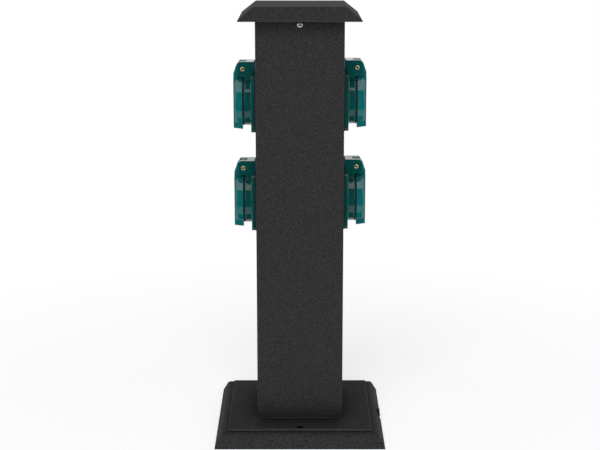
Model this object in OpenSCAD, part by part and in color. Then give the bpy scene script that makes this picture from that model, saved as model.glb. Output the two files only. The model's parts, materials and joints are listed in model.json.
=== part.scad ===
// Garden socket post: a square column on a stepped foot, with two hinged sockets on each side.
// Origin on the floor in the middle of the foot, +Z up, front towards -Y, sockets on -X and +X.

/* [Column] */
// Width of the square column
column_w = 80; // [78:1:90]
// Height of the column that shows between foot and cap
column_h = 374; // [350:1:420]
// Wall of the column
column_wall = 2; // [1.5:0.1:2.5]
// Outside radius of the column's edges
column_edge_r = 1.6; // [1:0.1:2]

/* [Foot] */
// Width of the foot on the floor
foot_w = 157.6; // [154:0.2:170]
// Height of the plateau that the column stands on
foot_h = 15.5; // [14.5:0.1:18]
// Width of the plateau
plateau_w = 134.6; // [133.6:0.2:140]
// Wall of the foot's moulding
foot_wall = 3; // [2.5:0.1:3.5]
// Distance of the front and back fixing holes from the middle
fixing_at = 62.5; // [60:0.5:63]
// Radius of the fixing holes
fixing_r = 2.2; // [2:0.1:2.6]
// Radius of the bore for the supply lead
outlet_r = 3.5; // [3:0.1:3.6]

/* [Cap] */
// Width of the cap at its rim
cap_w = 110; // [104:1:120]
// Width of the cap's flat top
cap_top_w = 82.8; // [78:0.2:92]
// Height of the cap
cap_h = 12.1; // [11:0.1:15]
// Wall of the cap's moulding
cap_wall = 2.4; // [2:0.1:3]

/* [Sockets] */
// Height of the lower left socket's middle
lower_z = 220.8; // [180:0.2:235]
// Distance from the lower to the upper sockets
socket_pitch = 92; // [88:1:105]
// How much higher the right sockets sit than the left ones
right_lift = 1.5; // [1:0.1:3]
// Width of the square flange
flange_w = 52.6; // [52:0.2:56]
// Thickness of the flange
flange_t = 3.3; // [2.8:0.1:3.8]
// Spacing of the flange's screws
screw_pitch = 39.6; // [38.8:0.2:41]
// Thickness of the gasket
gasket_t = 1.1; // [0.8:0.1:1.6]
// Height of the collar above the flange
collar_h = 6.6; // [6:0.05:7.2]
// Outside radius of the collar
collar_r = 22.7; // [22:0.1:23]
// Radius of the recess that takes the plug
recess_r = 19.75; // [19.5:0.05:20]
// Depth of the recess
recess_d = 17.5; // [16.5:0.1:18.5]
// Spacing of the pin holes
pin_pitch = 19; // [18.5:0.1:19.5]
// Radius of the pin holes
pin_hole_r = 2.6; // [2.5:0.05:2.8]

/* [Hinge and lid] */
// Width of the hinge block across both ears
hinge_w = 21; // [20:0.5:24]
// Width of the slot between the ears
slot_w = 11; // [10:0.5:12]
// Height of the hinge pin above the socket's middle
hinge_z = 30.1; // [29.8:0.1:31.5]
// Distance of the hinge pin from the column's face
hinge_out = 12.3; // [12.2:0.1:12.8]
// Height of the ears' top above the hinge pin
ear_top = 6.7; // [6.5:0.1:6.9]
// Radius of the hinge pin
hinge_r = 1.7; // [1.5:0.1:1.9]
// Radius of the lid's round cover
lid_r = 22.8; // [22.5:0.1:23.1]
// Distance of the lid's outer face from the collar's rim
lid_out = 10.1; // [9.8:0.05:10.8]
// Thickness of the lid's wall
lid_wall = 1.8; // [1.5:0.1:2.2]

/* [Hidden] */
$fn = 48;
eps = 0.01;
// How far an edge's circle stands proud of the straight lines that it joins
proud = 0.004;

SOCKETS = [["upper_left", 180, lower_z + socket_pitch], ["lower_left", 180, lower_z],
    ["upper_right", 0, lower_z + right_lift + socket_pitch], ["lower_right", 0, lower_z + right_lift]];
SOCKET_PIECES = ["housing", "gasket", "insert", "pin_contacts", "earth_strap", "terminal_screws",
    "flange_screws", "lid", "lid_seal", "hinge_pin", "lid_spring"];

green = "#0a5f5c";
charcoal = "#2f2f30";
foot_grey = "#262627";
black = "#161616";
steel = "#b9bcc0";
brass = "#c9a24a";

// Fits: play between pieces that slide together, and between a pin and its holes
play = 0.2;
seat_gap = 0.3;
turn_play = 0.06;

// Column
column_in = column_w / 2 - column_wall;
cap_overlap = 1.5;
column_len = column_h + cap_overlap;
rim_z = foot_h + column_h;
port_r = 4;
port_core_r = 1.95;
port_at = column_in - 3.2;

// Foot
edge_r = 2;
ledge_w = plateau_w + 2.4;
ledge_z = foot_h - 2.5;
shoulder_r = 6.4;
skirt_lip = 0.8;
skirt_wall = foot_wall + 0.2;
hollow_foot = foot_w / 2 - skirt_wall;
hollow_knee = [ledge_w / 2 + shoulder_r - skirt_wall - 0.6, ledge_z - shoulder_r + 1];
plate_gap = 0.5;
plate_t = 2;
plate_top = plate_gap + plate_t;
plate_r = 3;
plate_w = 2 * (hollow_foot - (hollow_foot - hollow_knee[0]) * plate_top / hollow_knee[1] - 0.25);
column_screw_head_r = 3.7;
column_screw_head_t = 2.6;
column_screw_len = 22;
column_screw_seat = foot_h - 5;
boss_r = 6;
plate_screw_in = 24;
plate_screw_at = foot_w / 2 - plate_screw_in;
plate_boss_r = 4;
plate_pilot_r = 1.4;
plate_screw_head_r = 3;
plate_screw_sink = 1.5;
plate_screw_len = 9;
countersink_r = 3.4;
countersink_d = 1.3;
frame_rib_t = 2.4;
rib_t = 2;
rib_at = 20;
rib_bottom = 3;
lead_hole_at = 24;
lead_hole_r = 6;
channel_w = 18;

// Lead outlet in the foot's right side
outlet_z = 5;
neck_r = outlet_r + 0.8;
lip_r = outlet_r + 1.3;
outlet_pad_w = 2 * lip_r + 4;
outlet_seat = foot_w / 2 - 3.6;
outlet_wall = 2.6;
lip_out = foot_w / 2 - 1;
lip_in_t = 1.2;

// Cap
cap_lip = 0.8;
crease_r = 2.5;
seat_wall = 3.4;
tab_w = 44;
tab_t = 2.5;
tab_h = 14;
tab_face = column_in - seat_gap;
cap_screw_z = rim_z - 3.4;
cap_screw_r = 1.4;
cap_screw_head_r = 2.9;
cap_screw_head_t = 2.1;
cap_screw_len = 9;
cap_boss_r = 3.5;
cap_boss_h = 5;

// Socket, measured outwards from the column's face
flange_in = gasket_t;
flange_out = flange_in + flange_t;
rim_out = flange_out + collar_h;
floor_out = rim_out - recess_d;
tube_r = recess_r + 1.25;
cutout_r = tube_r + 0.3;
insert_len = 11.15;
insert_back = floor_out - insert_len;
insert_flange_t = 1.5;
back_out = insert_back - insert_flange_t;
pin_hole_len = 5;
contact_r = 3.4;
contact_bore_r = 2.4;
clamp_w = 6.4;
clamp_front = back_out - seat_gap;
clamp_back = clamp_front - clamp_w;
clamp_mid = (clamp_front + clamp_back) / 2;
wire_r = 1.4;
wire_sides = 8;
wire_hole_r = wire_r + play;
clamp_screw_r = 1.2;
strap_w = 5;
strap_t = 0.8;
strap_at = 17.5;
strap_tip = rim_out - 2.2;
strap_bulge = 15;
snap_w = 8;
snap_t = 2.6;
snap_at = (floor_out + insert_back) / 2 - 1.5;
snap_r = tube_r - 0.4;
flange_screw_r = 1.4;
flange_screw_head_r = 3;
flange_screw_len = 9.5;
flange_sink = 1.7;

// Hinge and lid
gap_to_lid = 1.55;
skirt_out = rim_out + gap_to_lid;
face_out = rim_out + lid_out;
cover_out = face_out - 1.6;
ear_out = hinge_out + 4.6;
ear_bottom = hinge_z - 6.2;
pocket_r = 7.4;
knuckle_r = 6.9;
arm_w = slot_w - 2 * play;
window_w = 5.8;
window_r = 4.2;
skirt_t = 1;
seal_t = 2;
seal_out_r = lid_r - skirt_t - 0.05;
groove_wall = 0.8;
seal_face = rim_out + 0.05;
seal_lip_r = collar_r - 0.1;
seal_lip_t = gap_to_lid - 0.4;
spine_w = hinge_w - 1;
spine_top = ear_bottom - 1;
lip_bottom = -25.1;
lip_slant = 1.1;
lip_h = 8;
pin_head_r = 2.15;
pin_head_edge = 0.2;
pin_bore_r = 0.85;

// Lid spring: an odd quarter turn, one leg in the lid's arm and one in the hinge block
spring_wire_r = 0.4;
spring_r = 2.9;
spring_turns = 3.25;
spring_pitch = 1.25;
rings_per_turn = 8;
spring_leg_down = 7.7;
spring_leg_in = 7.6;
leg_hole_r = spring_wire_r + 0.2;

// Terminal block on the foot, inside the column
block_size = [22, 29, 18];
pole_pitch = pin_pitch / 2;
block_wire_at = 5;
block_top = foot_h + block_size[2];
wire_depth = 10;
block_screw_z = block_top - wire_depth + 2;
block_screw_in = block_wire_at + 3;

function unit(v) = v / norm(v);
function mirrored(pts) = concat(pts, [for (i = [len(pts) - 1:-1:0]) [-pts[i][0], pts[i][1]]]);

// Where a line from an outer point touches a circle, as an angle seen from the circle's centre
function touch_angle(point, centre, r) =
    let (d = point - centre) atan2(d[1], d[0]) + acos(r / norm(d));

module round_square(w, r) {
    square([w - 2 * r, w], center = true);
    square([w, w - 2 * r], center = true);
    for (x = [-1, 1], y = [-1, 1]) translate([x, y] * (w / 2 - r)) circle(r);
}

module corners(at) {
    for (x = [-1, 1], y = [-1, 1]) translate([x * at, y * at, 0]) children();
}

// A four-sided form with mitred corners from one side view, given in x and z
module hipped(w) {
    intersection() {
        rotate([90, 0, 0]) linear_extrude(w, center = true) children();
        rotate([90, 0, 90]) linear_extrude(w, center = true) children();
    }
}

// A cylinder along +X from one distance to another
module across(r, from, to) {
    translate([from, 0, 0]) rotate([0, 90, 0]) cylinder(r = r, h = to - from);
}

// A side view in x and z, given a width along Y
module along_y(w) {
    rotate([90, 0, 0]) linear_extrude(w, center = true) children();
}

// A profile of radius and distance, turned about the X axis
module turned() {
    rotate([0, 90, 0]) rotate_extrude() children();
}

// A tube swept through points that lie in planes of constant Y, or nearly so
function tube_ring(p, t, r, sides) =
    let (a = unit(cross(t, [0, 1, 0])), b = cross(a, t))
    [for (k = [0:sides - 1]) p + r * (cos(360 * k / sides) * a + sin(360 * k / sides) * b)];
function tube_dir(pts, i) =
    unit(pts[min(i + 1, len(pts) - 1)] - pts[max(i - 1, 0)]);

module tube(pts, r, sides) {
    n = len(pts);
    skin = [for (i = [0:n - 2], k = [0:sides - 1], upper = [0, 1])
        let (a = i * sides + k, b = i * sides + (k + 1) % sides)
        upper == 0 ? [a, b, a + sides] : [b, b + sides, a + sides]];
    ends = [for (k = [1:sides - 2], far = [0, 1])
        far == 0 ? [0, k + 1, k] : [(n - 1) * sides, (n - 1) * sides + k, (n - 1) * sides + k + 1]];
    polyhedron([for (i = [0:n - 1]) each tube_ring(pts[i], tube_dir(pts, i), r, sides)],
        concat(skin, ends));
}

// The post

// Side view of the foot: plateau, ledge, rounded shoulder and straight skirt
module foot_outline() {
    shoulder = [ledge_w / 2, ledge_z - shoulder_r];
    toe = [foot_w / 2, skirt_lip];
    touch = touch_angle(toe, shoulder, shoulder_r);
    skirt_top = shoulder + shoulder_r * [cos(touch), sin(touch)];
    polygon(mirrored([[0, 0], [foot_w / 2, 0], toe, skirt_top, shoulder, [ledge_w / 2, ledge_z],
        [0, ledge_z]]));
    for (s = [-1, 1]) {
        translate([s * shoulder[0], shoulder[1]]) circle(shoulder_r + proud);
        translate([s * (plateau_w / 2 - edge_r), foot_h - edge_r]) circle(edge_r + proud);
    }
    translate([-plateau_w / 2, 1]) square([plateau_w, foot_h - edge_r - 1]);
    translate([-plateau_w / 2 + edge_r, 1]) square([plateau_w - 2 * edge_r, foot_h - 1]);
}

module foot_hollow() {
    inner = plateau_w / 2 - foot_wall;
    polygon(mirrored([[0, -1], [hollow_foot, -1], [hollow_foot, 0], hollow_knee,
        [inner + 1, ledge_z - foot_wall], [inner, ledge_z - foot_wall], [inner, foot_h - foot_wall],
        [0, foot_h - foot_wall]]));
}

// The lead outlet's arch: round above, straight down to the floor
module arch(r, from, to, bottom = -1) {
    translate([0, 0, outlet_z]) across(r, from, to);
    translate([from, -r, bottom]) cube([to - from, 2 * r, outlet_z - bottom]);
}

module foot() {
    color(foot_grey) difference() {
        union() {
            difference() {
                hipped(foot_w) foot_outline();
                hipped(foot_w) foot_hollow();
            }
            foot_ribs();
            intersection() {
                hipped(foot_w) foot_outline();
                translate([outlet_seat - outlet_wall, -outlet_pad_w / 2, 0])
                    cube([10, outlet_pad_w, foot_h - 3]);
            }
        }
        corners(port_at) {
            translate([0, 0, -1]) cylinder(r = 2.2, h = foot_h + 2);
            translate([0, 0, -1]) cylinder(r = column_screw_head_r + 0.8, h = column_screw_seat + 1);
        }
        corners(plate_screw_at) cylinder(r = plate_pilot_r, h = foot_h - foot_wall);
        for (s = [-1, 1]) translate([0, s * fixing_at, 0]) {
            translate([0, 0, -1]) cylinder(r = fixing_r, h = foot_h + 2);
            translate([0, 0, foot_h - countersink_d])
                cylinder(r1 = fixing_r, r2 = countersink_r, h = countersink_d + eps);
        }
        translate([lead_hole_at, 0, 0]) cylinder(r = lead_hole_r, h = foot_h + 1);
        arch(neck_r + 0.1, outlet_seat - outlet_wall - 1, outlet_seat + 1);
        arch(lip_r + 0.2, outlet_seat, foot_w / 2 + 1);
        arch(lip_r + 0.2, outlet_seat - outlet_wall - 6, outlet_seat - outlet_wall);
        for (x = [-1, 1], y = [-1, 1]) translate([0, y * pole_pitch / 2, foot_h - 6])
            cylinder(r = plate_pilot_r, h = 7);
    }
}

module foot_ribs() {
    frame_w = column_w + frame_rib_t - 1;
    rib_h = foot_h - foot_wall - rib_bottom + 1;
    difference() {
        union() {
            translate([0, 0, rib_bottom]) linear_extrude(rib_h) difference() {
                square(frame_w, center = true);
                square(frame_w - 2 * frame_rib_t, center = true);
            }
            intersection() {
                hipped(foot_w) foot_hollow();
                for (turn = [0:90:270], y = [-1, 1]) rotate(turn)
                    translate([frame_w / 2 - 1, y * rib_at - rib_t / 2, rib_bottom])
                        cube([foot_w / 2, rib_t, rib_h]);
            }
            corners(port_at) translate([0, 0, rib_bottom]) cylinder(r = boss_r, h = rib_h);
            corners(plate_screw_at) translate([0, 0, plate_top])
                cylinder(r = plate_boss_r, h = foot_h - foot_wall - plate_top + 1);
            for (s = [-1, 1]) translate([0, s * fixing_at, plate_top])
                cylinder(r = countersink_r + 0.5, h = foot_h - foot_wall - plate_top + 1);
        }
        translate([column_in - 4, -channel_w / 2, 0]) cube([foot_w / 2, channel_w, foot_h - foot_wall]);
    }
}

module bottom_plate() {
    color(steel) difference() {
        translate([0, 0, plate_gap]) linear_extrude(plate_t) round_square(plate_w, plate_r);
        for (s = [-1, 1]) translate([0, s * fixing_at, 0]) cylinder(r = fixing_r, h = plate_top + 1);
        corners(plate_screw_at) {
            cylinder(r = plate_pilot_r + 0.4, h = plate_top + 1);
            translate([0, 0, plate_gap - eps])
                cylinder(r1 = plate_screw_head_r + play, r2 = plate_pilot_r + 0.4, h = 1.4);
        }
        translate([outlet_seat - outlet_wall - 3, -outlet_pad_w / 2, 0]) cube([20, outlet_pad_w, 5]);
    }
}

module bottom_plate_screws() {
    color(steel) corners(plate_screw_at) translate([0, 0, plate_gap + 0.1]) {
        cylinder(r1 = plate_screw_head_r, r2 = plate_pilot_r - 0.1, h = plate_screw_sink);
        cylinder(r = plate_pilot_r - 0.1, h = plate_screw_len);
    }
}

module column() {
    color(charcoal) difference() {
        translate([0, 0, foot_h]) linear_extrude(column_len) difference() {
            union() {
                difference() {
                    round_square(column_w, column_edge_r);
                    square(2 * column_in, center = true);
                }
                corners(port_at) {
                    circle(port_r);
                    square(port_r);
                }
            }
            corners(port_at) circle(port_core_r);
            // keeps the filled corners inside the outer edge
            difference() {
                square(column_w + 2, center = true);
                round_square(column_w, column_edge_r);
            }
        }
        for (s = SOCKETS) at_socket(s) {
            across(cutout_r, -column_wall - 1, 1);
            flange_corners() across(flange_screw_r + 0.1, -column_wall - 1, 1);
        }
        for (s = [-1, 1]) translate([0, s * column_w / 2, cap_screw_z]) rotate([90, 0, 0])
            cylinder(r = cap_screw_r + 0.4, h = 3 * column_wall, center = true);
    }
}

module column_screws() {
    color(steel) corners(port_at) {
        translate([0, 0, column_screw_seat - column_screw_head_t])
            cylinder(r = column_screw_head_r, h = column_screw_head_t);
        translate([0, 0, column_screw_seat - eps]) cylinder(r = port_core_r - 0.1, h = column_screw_len);
    }
}

// Side view of the cap: rim, slope and flat top with a rounded crease
module cap_outline() {
    slope = atan2(cap_h - cap_lip, (cap_w - cap_top_w) / 2);
    bite = crease_r * tan(slope / 2);
    crease = [cap_top_w / 2 - bite, cap_h - crease_r];
    polygon(mirrored([[0, 0], [cap_w / 2, 0], [cap_w / 2, cap_lip],
        crease + crease_r * [sin(slope), cos(slope)], crease, [crease[0], cap_h], [0, cap_h]]));
    for (s = [-1, 1]) translate([s * crease[0], crease[1]]) circle(crease_r + proud);
}

module cap_hollow() {
    slope = atan2(cap_h - cap_lip, (cap_w - cap_top_w) / 2);
    rim = cap_w / 2 - cap_wall / sin(slope);
    top = cap_h - cap_wall;
    polygon(mirrored([[0, -1], [rim, -1], [rim, cap_lip], [rim - (top - cap_lip) / tan(slope), top],
        [0, top]]));
}

module top_cap() {
    seat_in = column_in - 1.5;
    seat_out = seat_in + seat_wall;
    slope_over_seat = cap_lip + (cap_w / 2 - seat_out) * 2 * (cap_h - cap_lip) / (cap_w - cap_top_w);
    seat_top = min(cap_h - cap_wall + 0.5, slope_over_seat - 0.5);
    color(charcoal) translate([0, 0, rim_z]) difference() {
        union() {
            difference() {
                hipped(cap_w) cap_outline();
                hipped(cap_w) cap_hollow();
            }
            translate([0, 0, cap_overlap]) linear_extrude(seat_top - cap_overlap) difference() {
                square(2 * seat_out, center = true);
                square(2 * seat_in, center = true);
            }
            for (turn = [0:90:270]) rotate(turn) translate([-tab_w / 2, tab_face - tab_t, -tab_h])
                cube([tab_w, tab_t, tab_h + cap_h - cap_wall + 0.5]);
            for (turn = [0, 180]) rotate(turn) translate([0, -tab_face + tab_t / 2, cap_screw_z - rim_z])
                rotate([-90, 0, 0]) cylinder(r = cap_boss_r, h = cap_boss_h + tab_t / 2);
        }
        for (turn = [0, 180]) rotate(turn) translate([0, -column_w / 2, cap_screw_z - rim_z])
            rotate([-90, 0, 0]) cylinder(r = cap_screw_r + 0.1, h = column_wall + tab_t + cap_boss_h);
    }
}

module cap_screws() {
    dome_r = 3.6;
    color(steel) for (turn = [0, 180]) rotate(turn) translate([0, -column_w / 2, cap_screw_z])
        rotate([90, 0, 0]) {
            intersection() {
                cylinder(r = cap_screw_head_r, h = cap_screw_head_t);
                translate([0, 0, cap_screw_head_t - dome_r]) sphere(dome_r);
            }
            translate([0, 0, -cap_screw_len]) cylinder(r = cap_screw_r, h = cap_screw_len + eps);
            cylinder(r = cap_screw_head_r - 0.6, h = 0.6);
        }
}

module cable_grommet() {
    inner = outlet_seat - outlet_wall;
    color(black) difference() {
        union() {
            arch(neck_r, inner - lip_in_t, lip_out, 0.3);
            arch(lip_r, outlet_seat + 0.1, lip_out, 0.3);
            arch(lip_r, inner - 0.1 - lip_in_t, inner - 0.1, 0.3);
        }
        translate([0, 0, outlet_z]) across(outlet_r, inner - 3, lip_out + 1);
    }
}

module terminal_block() {
    color("#d8d5cc") difference() {
        translate([-block_size[0] / 2, -block_size[1] / 2, foot_h]) cube(block_size);
        for (pole = [-1:1], side = [-1, 1]) translate([side * block_wire_at, pole * pole_pitch, 0]) {
            translate([0, 0, block_top - wire_depth - 1]) cylinder(r = wire_hole_r, h = wire_depth + 2);
            translate([side * 3, 0, block_screw_z]) rotate([0, side * 90, 0]) cylinder(r = 2.6, h = 9);
            translate([0, 0, block_screw_z]) rotate([0, side * 90, 0])
                cylinder(r = clamp_screw_r + 0.1, h = 4);
        }
        for (y = [-1, 1]) translate([0, y * pole_pitch / 2, 0]) {
            cylinder(r = 1.7, h = block_top + 1);
            translate([0, 0, foot_h + 8]) cylinder(r = 2.7, h = block_size[2]);
        }
    }
}

// Six clamp screws in the sides and two that hold the block to the foot
module block_screws() {
    color(steel) {
        for (pole = [-1:1], side = [-1, 1])
            translate([side * block_screw_in, pole * pole_pitch, block_screw_z]) rotate([0, side * 90, 0]) {
                cylinder(r = 2.4, h = 2);
                translate([0, 0, wire_r - 2.9]) cylinder(r = clamp_screw_r, h = 3 - wire_r);
            }
        for (y = [-1, 1]) translate([0, y * pole_pitch / 2, 0]) {
            translate([0, 0, foot_h + 8]) cylinder(r = 2.5, h = 1.8);
            translate([0, 0, foot_h - 5]) cylinder(r = plate_pilot_r - 0.1, h = 13.5);
        }
    }
}

// One pole's four wires: block to each lower socket, and on to the upper socket
module pole_wires(y, hue) {
    clamp_x = column_w / 2 + clamp_mid;
    middle_x = (block_wire_at + clamp_x) / 2;
    straight = clamp_w / 2 + 4;
    sway = 4;
    color(hue) for (s = [-1, 1]) {
        low = lower_z + (s > 0 ? right_lift : 0);
        high = low + socket_pitch;
        rise = low - block_top;
        lower_run = [[block_wire_at, block_top - wire_depth], [block_wire_at, block_top + 4],
            [block_wire_at + 1, block_top + 0.2 * rise], [middle_x, block_top + rise / 2],
            [clamp_x - 1, block_top + 0.8 * rise], [clamp_x, low - straight], [clamp_x, low - 1]];
        upper_run = [[clamp_x, low + 1], [clamp_x, low + straight],
            [clamp_x - sway, low + 0.35 * socket_pitch], [clamp_x - sway, high - 0.35 * socket_pitch],
            [clamp_x, high - straight], [clamp_x, high - 1]];
        for (run = [lower_run, upper_run])
            tube([for (p = run) [s * p[0], y, p[1]]], wire_r, wire_sides);
    }
}

// One socket, drawn with +X outwards from the column's face and its middle at the origin

module at_socket(s) {
    translate([0, 0, s[2]]) rotate(s[1]) translate([column_w / 2, 0, 0]) children();
}

module flange_corners() {
    for (y = [-1, 1], z = [-1, 1]) translate([0, y * screw_pitch / 2, z * screw_pitch / 2]) children();
}

// Side view of an ear and its neck, down to the collar
module cheek_outline() {
    r = 2.2;
    back_r = 1;
    neck_fillet = 1.95;
    top = hinge_z + ear_top;
    neck = [rim_out + neck_fillet - 0.05, ear_bottom - neck_fillet + 5 * proud];
    difference() {
        polygon([[flange_in, 14], [rim_out - 0.03, 14], [rim_out - 0.03, neck[1]], neck,
            [neck[0], ear_bottom], [ear_out - r, ear_bottom], [ear_out, ear_bottom + r],
            [ear_out, top - r], [ear_out - r, top], [flange_in + back_r, top], [flange_in, top - back_r]]);
        translate(neck) circle(neck_fillet);
    }
    translate([ear_out - r, ear_bottom + r]) circle(r + proud);
    translate([ear_out - r, top - r]) circle(r + proud);
}

// Clear space between the ears for the lid's arm
module slot_outline() {
    translate([hinge_out, hinge_z]) circle(pocket_r);
    polygon([[hinge_out - pocket_r, hinge_z], [hinge_out - pocket_r + 1.5, ear_bottom + 0.4],
        [rim_out, collar_r + 0.1], [rim_out, 10], [ear_out + 9, 10], [ear_out + 9, hinge_z + ear_top + 9],
        [hinge_out, hinge_z + ear_top + 9], [hinge_out, hinge_z]]);
}

// Outline of the flange with its front edges rounded
module flange_edge() {
    r = 0.8;
    half = flange_w / 2;
    translate([flange_in, -half]) square([flange_t - r, flange_w]);
    translate([flange_in, -half + r]) square([flange_t, flange_w - 2 * r]);
    for (s = [-1, 1]) translate([flange_out - r, s * (half - r)]) circle(r);
}

module housing() {
    edge = 0.7;
    fillet = 0.9;
    color(green) difference() {
        union() {
            intersection() {
                translate([flange_in, 0, 0]) rotate([0, 90, 0]) linear_extrude(flange_t)
                    round_square(flange_w, 4);
                linear_extrude(flange_w + 2, center = true) flange_edge();
                rotate([90, 0, 0]) linear_extrude(flange_w + 2, center = true) flange_edge();
            }
            turned() {
                translate([0, flange_in]) square([collar_r, rim_out - edge - flange_in]);
                translate([0, flange_in]) square([collar_r - edge, rim_out - flange_in]);
                translate([collar_r - edge, rim_out - edge]) circle(edge);
                difference() {
                    translate([0, flange_out]) square([collar_r + fillet, fillet]);
                    translate([collar_r + fillet, flange_out + fillet]) circle(fillet);
                }
            }
            across(tube_r, insert_back, flange_out);
            along_y(hinge_w) cheek_outline();
        }
        across(recess_r, insert_back - 1, rim_out + 1);
        along_y(slot_w) slot_outline();
        translate([hinge_out, 0, hinge_z]) rotate([90, 0, 0])
            cylinder(r = hinge_r + turn_play, h = hinge_w + 2, center = true);
        translate([0, spring_end_y(), hinge_z + spring_r])
            across(leg_hole_r, hinge_out - pocket_r - 2.2, hinge_out);
        flange_corners() {
            across(flange_screw_r + 0.4, -1, rim_out);
            translate([flange_out - flange_sink, 0, 0]) rotate([0, 90, 0])
                cylinder(r1 = flange_screw_r + 0.1, r2 = flange_screw_head_r + play, h = flange_sink + eps);
        }
        translate([snap_at - snap_t / 2 - play, -tube_r - 1, -snap_w / 2 - play])
            cube([snap_t + 2 * play, 2 * tube_r + 2, snap_w + 2 * play]);
    }
    color(green) guide_ribs();
}

// Two ribs in the recess that guide the plug's side grooves
module guide_ribs() {
    rib_in = recess_r - 2.4;
    intersection() {
        across(recess_r + 0.5, floor_out + 0.3, rim_out - 2.5);
        for (s = [-1, 1]) translate([floor_out, s > 0 ? rib_in : -recess_r - 1, -2.5])
            cube([recess_d, recess_r + 1 - rib_in, 5]);
    }
}

module gasket() {
    color(black) difference() {
        rotate([0, 90, 0]) linear_extrude(gasket_t) round_square(flange_w + 0.4, 4);
        across(cutout_r, -1, gasket_t + 1);
        flange_corners() across(flange_screw_r + 0.4, -1, gasket_t + 1);
    }
}

module insert() {
    slot_h = strap_t + 0.5;
    color(black) difference() {
        union() {
            across(recess_r - 0.15, insert_back, floor_out);
            across(tube_r, back_out, insert_back);
            intersection() {
                across(snap_r, insert_back, floor_out);
                translate([snap_at - snap_t / 2, -tube_r, -snap_w / 2]) cube([snap_t, 2 * tube_r, snap_w]);
            }
        }
        for (y = [-1, 1]) translate([0, y * pin_pitch / 2, 0]) {
            across(pin_hole_r, floor_out - pin_hole_len - 1, floor_out + 1);
            across(contact_r + play, back_out - 1, floor_out - pin_hole_len);
        }
        for (turn = [0, 180]) rotate([turn, 0, 0])
            translate([back_out - 1, -strap_w / 2 - 0.3, strap_at - 0.25])
                cube([insert_len + 4, strap_w + 0.6, slot_h]);
        // shallow dish in the face, between the pin holes and the rim
        turned() translate([13, floor_out - 0.6]) square([2, 1]);
    }
}

module pin_contacts() {
    color(brass) for (y = [-1, 1]) translate([0, y * pin_pitch / 2, 0]) difference() {
        union() {
            across(contact_r, clamp_front - 0.5, floor_out - pin_hole_len - seat_gap);
            clamp();
        }
        across(contact_bore_r, clamp_front + 1, floor_out);
        translate([clamp_front + 2, -0.4, -5]) cube([insert_len, 0.8, 10]);
        clamp_bores();
    }
}

module clamp() {
    translate([clamp_back, -clamp_w / 2, -clamp_w / 2]) cube(clamp_w);
}

module clamp_bores() {
    translate([clamp_mid, 0, 0]) cylinder(r = wire_hole_r, h = clamp_w + 2, center = true);
    across(clamp_screw_r + 0.1, clamp_back - 1, clamp_mid);
}

// One bent strip: two sprung side contacts and a bar behind the insert with the earth clamp
module earth_strap() {
    bar_in = clamp_front - strap_t;
    side = [[bar_in, strap_at + strap_t], [strap_tip - 8, strap_at + strap_t],
        [strap_tip - 4.5, strap_bulge + strap_t + 0.4], [strap_tip - 1, strap_at + 0.6],
        [strap_tip, strap_at + 0.2], [strap_tip - 0.6, strap_at - 0.4], [strap_tip - 3.6, strap_bulge],
        [strap_tip - 5.2, strap_bulge], [strap_tip - 8.2, strap_at], [clamp_front, strap_at],
        [clamp_front, 0], [bar_in, 0]];
    color(brass) difference() {
        union() {
            along_y(strap_w) polygon(side);
            along_y(strap_w) polygon([for (p = side) [p[0], -p[1]]]);
            translate([-strap_t / 2, 0, 0]) clamp();
        }
        clamp_bores();
    }
}

module terminal_screws() {
    color(steel) for (y = [-1:1]) translate([0, y * pin_pitch / 2, 0]) {
        across(2.5, clamp_back - 2.8, clamp_back - 0.8);
        across(clamp_screw_r, clamp_back - 0.9, clamp_mid - wire_r - 0.1);
    }
}

module flange_screws() {
    color(steel) flange_corners() {
        translate([flange_out - flange_sink, 0, 0]) rotate([0, 90, 0])
            cylinder(r1 = flange_screw_r, r2 = flange_screw_head_r, h = flange_sink - 0.1);
        across(flange_screw_r, flange_out - flange_screw_len, flange_out - flange_sink + 0.1);
    }
}

// Side view of the lid's arm, from the cover up round the hinge pin
module arm_outline() {
    hinge = [hinge_out, hinge_z];
    bend = [face_out, hinge_z - 4.2];
    touch = touch_angle(bend, hinge, knuckle_r);
    behind_cover = cover_out - 1.5;
    translate(hinge) circle(knuckle_r + proud);
    polygon([[skirt_out, lid_r - 0.6], [behind_cover, lid_r - 0.6], [behind_cover, 14], [face_out, 14], bend,
        hinge + knuckle_r * [cos(touch), sin(touch)], hinge, [skirt_out, hinge_z]]);
}

module lid() {
    edge = 1.6;
    spine_edge = 0.6;
    inner_face = cover_out - lid_wall;
    color(green) difference() {
        union() {
            difference() {
                turned() {
                    translate([0, skirt_out]) square([lid_r, cover_out - edge - skirt_out]);
                    translate([0, skirt_out]) square([lid_r - edge, cover_out - skirt_out]);
                    translate([lid_r - edge, cover_out - edge]) circle(edge);
                }
                across(lid_r - skirt_t, skirt_out - 1, inner_face);
            }
            turned() translate([seal_out_r - seal_t - 0.05 - groove_wall, skirt_out + 0.8])
                square([groove_wall, inner_face - skirt_out]);
            // spine from the arm down to the lift lip
            difference() {
                intersection() {
                    along_y(spine_w) spine_outline(inner_face + 0.5);
                    linear_extrude(2 * lid_r + 20, center = true) spine_edges(spine_edge);
                }
                across(lid_r - skirt_t, skirt_out - 1, inner_face);
            }
            along_y(arm_w) arm_outline();
        }
        translate([hinge_out, 0, hinge_z]) rotate([90, 0, 0])
            cylinder(r = hinge_r + turn_play, h = hinge_w, center = true);
        // window between the knuckle's two lugs, for the spring
        along_y(window_w) {
            translate([hinge_out, hinge_z]) circle(window_r);
            translate([0, hinge_z - pocket_r]) square([hinge_out, 2 * pocket_r]);
            translate([0, hinge_z + 0.6]) square([face_out, pocket_r]);
        }
        translate([hinge_out + spring_r, spring_start_y(), hinge_z - spring_leg_down - 0.4])
            cylinder(r = leg_hole_r, h = spring_leg_down);
    }
}

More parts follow.
